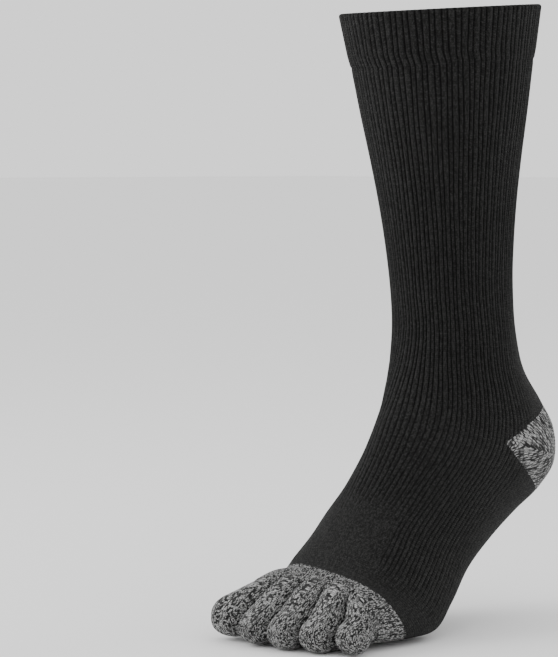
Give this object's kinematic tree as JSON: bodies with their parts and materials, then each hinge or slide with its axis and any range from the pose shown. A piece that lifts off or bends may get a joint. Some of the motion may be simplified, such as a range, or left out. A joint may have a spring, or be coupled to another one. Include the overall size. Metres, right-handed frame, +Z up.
{
  "type": "toe sock",
  "caption": "Left-foot toe sock in its worn form: a ribbed tube with a double welt, a turned heel pocket and a separate knitted tube for each toe.",
  "frame": {"origin": "centre of the leg opening, in the plane of the rim", "axes": "+Z up along the leg, -Y towards the toes, +X towards the outer side of the left foot"},
  "size_m": [0.1072, 0.2189, 0.3415],
  "materials": {
    "black_rib_knit": "matte ribbed knit",
    "black_fine_knit": "matte plain knit",
    "grey_marl_knit": "matte marl knit"
  },
  "bodies": {
    "root": {"cuff": "black_rib_knit", "leg": "black_rib_knit", "heel": "grey_marl_knit", "foot": "black_fine_knit", "toe_band": "grey_marl_knit", "big_toe": "grey_marl_knit", "second_toe": "grey_marl_knit", "third_toe": "grey_marl_knit", "fourth_toe": "grey_marl_knit", "little_toe": "grey_marl_knit"}
  },
  "joints": []
}
